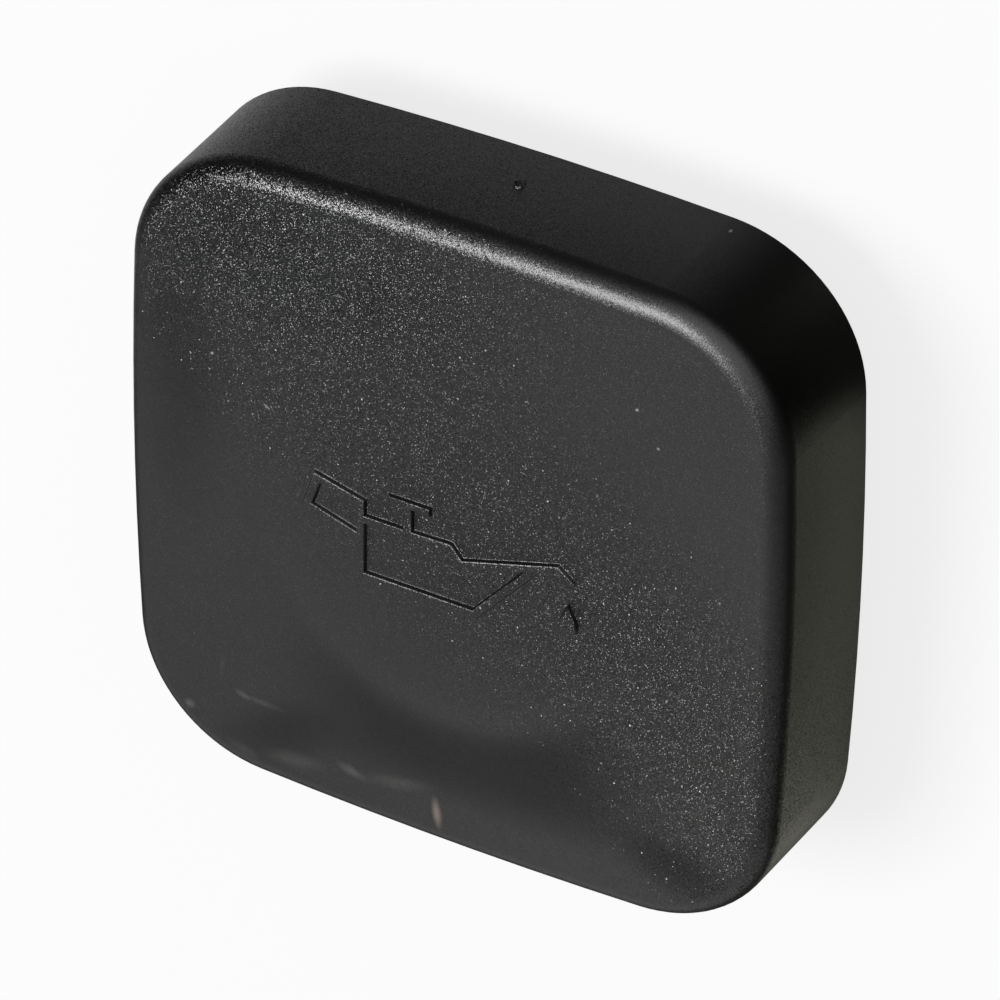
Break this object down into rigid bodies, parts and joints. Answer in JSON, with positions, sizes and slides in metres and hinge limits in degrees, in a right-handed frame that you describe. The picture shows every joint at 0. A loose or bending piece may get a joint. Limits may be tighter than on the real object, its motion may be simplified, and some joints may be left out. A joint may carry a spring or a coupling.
{
  "type": "oil filler cap",
  "caption": "Rounded-square hand cap with a raised oil-can sign, a hollow bayonet plug with ramped lugs and a rubber sealing ring; it closes an engine's oil filler neck.",
  "frame": {"origin": "on the cap's axis at the sealing plane, where the ring's underside meets the top of the filler neck", "axes": "+Z along the axis out of the front face; +Y the upright of the oil-can sign; +X to the sign's right"},
  "size_m": [0.066, 0.066, 0.021],
  "materials": {
    "moulded_plastic": "fine spark-eroded grain, black, glass-filled",
    "seal_rubber": "smooth moulded rubber"
  },
  "bodies": {
    "root": {"cap_body": "moulded_plastic", "seal_ring": "seal_rubber"}
  },
  "joints": []
}
